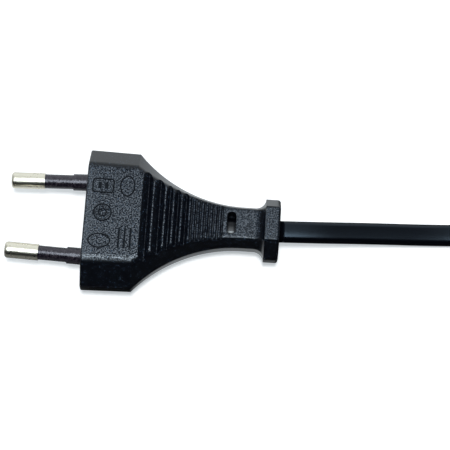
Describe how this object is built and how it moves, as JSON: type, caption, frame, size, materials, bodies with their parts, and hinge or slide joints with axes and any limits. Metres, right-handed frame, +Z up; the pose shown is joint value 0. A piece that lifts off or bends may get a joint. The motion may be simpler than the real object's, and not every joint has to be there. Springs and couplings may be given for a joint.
{
  "type": "europlug lead",
  "caption": "Flat europlug with sleeved pins, bevelled block and ribbed grip, moulded on a flat black mains cable that ends in a small appliance connector.",
  "frame": {"origin": "centre of the engagement face, midway between the pins", "axes": "+X back through the plug to its cord, +Y to the live pin's side, +Z up from the surface that the plug lies on"},
  "size_m": [0.2605, 0.0474, 0.0138],
  "materials": {
    "body_pvc": "fine spark-eroded grain, black",
    "carrier": "rigid moulding",
    "plated_pin": "nickel plated brass, bright",
    "sleeve": "smooth, black",
    "brown_core": "brown insulation",
    "blue_core": "blue insulation",
    "copper": "bare copper strands",
    "sheath": "smooth black PVC",
    "tie": "flat plastic band",
    "connector_pvc": "fine grain, black",
    "insert": "rigid moulding",
    "contact_brass": "tinned spring brass"
  },
  "bodies": {
    "root": {"plug_body": "body_pvc", "pin_carrier": "carrier", "live_pin": "plated_pin", "neutral_pin": "plated_pin", "live_pin_sleeve": "sleeve", "neutral_pin_sleeve": "sleeve", "live_core": "brown_core", "neutral_core": "blue_core", "live_conductor": "copper", "neutral_conductor": "copper", "cable_in_plug": "sheath", "cable_lead": "sheath", "cable_hank": "sheath", "cable_tail": "sheath", "hank_ties": "tie", "connector_body": "connector_pvc", "contact_insert": "insert", "connector_live_contact": "contact_brass", "connector_neutral_contact": "contact_brass", "connector_live_core": "brown_core", "connector_neutral_core": "blue_core", "connector_live_conductor": "copper", "connector_neutral_conductor": "copper", "cable_in_connector": "sheath"}
  },
  "joints": []
}
